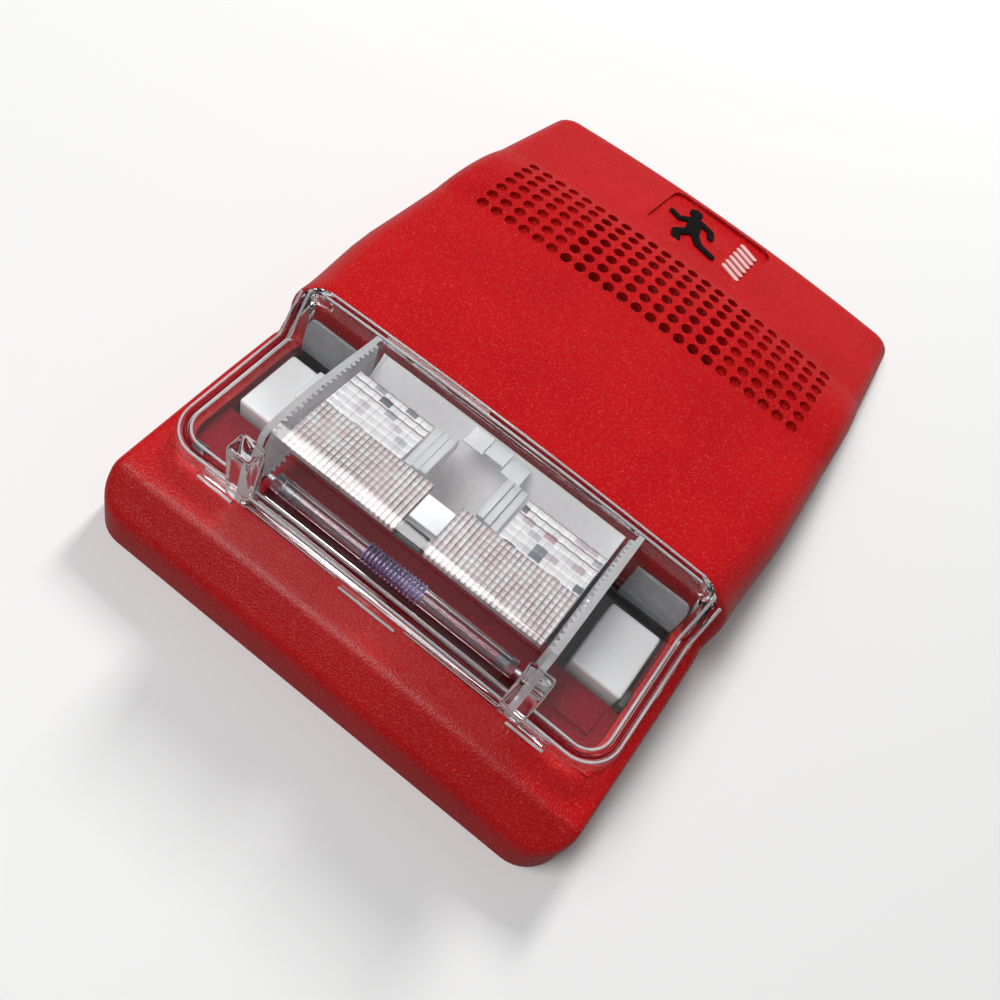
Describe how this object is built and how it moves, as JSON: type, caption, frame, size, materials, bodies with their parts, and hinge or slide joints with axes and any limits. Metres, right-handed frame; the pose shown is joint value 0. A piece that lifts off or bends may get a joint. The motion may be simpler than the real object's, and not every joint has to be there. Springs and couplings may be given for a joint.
{
  "type": "horn strobe",
  "caption": "Wall horn strobe: red rounded cover with a square grille of holes, clear ribbed strobe lens, dark rear base with board, flash tube, sounder and slotted wall-box holes.",
  "frame": {"origin": "centre of the back, on the wall plane, halfway along the length and the width", "axes": "+X across the width, +Y along the length towards the grille end, +Z out of the wall"},
  "size_m": [0.108, 0.165, 0.03],
  "materials": {
    "cover_red": "fine grained moulded red, satin shine",
    "clear_lens": "clear moulded polycarbonate",
    "symbol_black": "printed black",
    "symbol_pale": "printed pale",
    "base_plastic": "dark moulded",
    "white_plastic": "white moulded",
    "reflector_white": "bright coated moulding",
    "panel_grey": "grey coated",
    "black_plastic": "black moulded",
    "board": "green solder mask",
    "capacitor_sleeve": "shrunk sleeve",
    "ferrite": "fired ferrite",
    "ceramic": "ceramic chip parts",
    "yellow_tape": "wound tape",
    "copper": "enamelled copper wire",
    "brass": "plated",
    "steel": "zinc plated",
    "diaphragm": "thin rolled",
    "foam": "soft closed foam",
    "tube_glass": "clear drawn glass"
  },
  "bodies": {
    "base_assembly": {"rear_base": "base_plastic", "circuit_board": "board", "board_screws": "steel", "terminal_block": "black_plastic", "terminal_clamps": "brass", "candela_switch": "black_plastic", "level_switch": "black_plastic", "flash_capacitor": "capacitor_sleeve", "filter_capacitors": "capacitor_sleeve", "inductor_core": "ferrite", "inductor_winding": "copper", "trigger_transformer": "yellow_tape", "control_chips": "black_plastic", "small_components": "ceramic", "reflector": "reflector_white", "back_panel": "panel_grey", "side_blocks": "white_plastic", "flash_tube": "tube_glass", "tube_electrodes": "steel", "trigger_wire": "copper", "tube_holders": "white_plastic", "sounder_case": "black_plastic", "sounder_magnet": "ferrite", "sounder_coil": "copper", "sounder_diaphragm": "diaphragm", "sounder_ring": "black_plastic", "sounder_gasket": "foam", "sounder_screws": "steel"},
    "terminal_screw_1_body": {"terminal_screw_1": "steel"},
    "terminal_screw_2_body": {"terminal_screw_2": "steel"},
    "terminal_screw_3_body": {"terminal_screw_3": "steel"},
    "terminal_screw_4_body": {"terminal_screw_4": "steel"},
    "candela_slider_body": {"candela_slider": "white_plastic"},
    "level_slider_body": {"level_slider": "white_plastic"},
    "cover_assembly": {"front_cover": "cover_red", "strobe_lens": "clear_lens", "prism_optics": "clear_lens", "figure_symbol": "symbol_black", "bars_symbol": "symbol_pale"}
  },
  "joints": [
    {"name": "terminal_screw_1_turn", "type": "hinge", "parent": "base_assembly", "child": "terminal_screw_1_body", "pos_m": [-0.015, -0.001, 0.0027], "axis": [0, 0, 1], "continuous": true},
    {"name": "terminal_screw_2_turn", "type": "hinge", "parent": "base_assembly", "child": "terminal_screw_2_body", "pos_m": [-0.005, -0.001, 0.0027], "axis": [0, 0, 1], "continuous": true},
    {"name": "terminal_screw_3_turn", "type": "hinge", "parent": "base_assembly", "child": "terminal_screw_3_body", "pos_m": [0.005, -0.001, 0.0027], "axis": [0, 0, 1], "continuous": true},
    {"name": "terminal_screw_4_turn", "type": "hinge", "parent": "base_assembly", "child": "terminal_screw_4_body", "pos_m": [0.015, -0.001, 0.0027], "axis": [0, 0, 1], "continuous": true},
    {"name": "candela_slide", "type": "slide", "parent": "base_assembly", "child": "candela_slider_body", "axis": [1, 0, 0], "range_m": [0, 0.006]},
    {"name": "level_slide", "type": "slide", "parent": "base_assembly", "child": "level_slider_body", "axis": [1, 0, 0], "range_m": [0, 0.002]},
    {"name": "cover_lift", "type": "slide", "parent": "base_assembly", "child": "cover_assembly", "axis": [0, 0, 1], "range_m": [0, 0.06]}
  ]
}
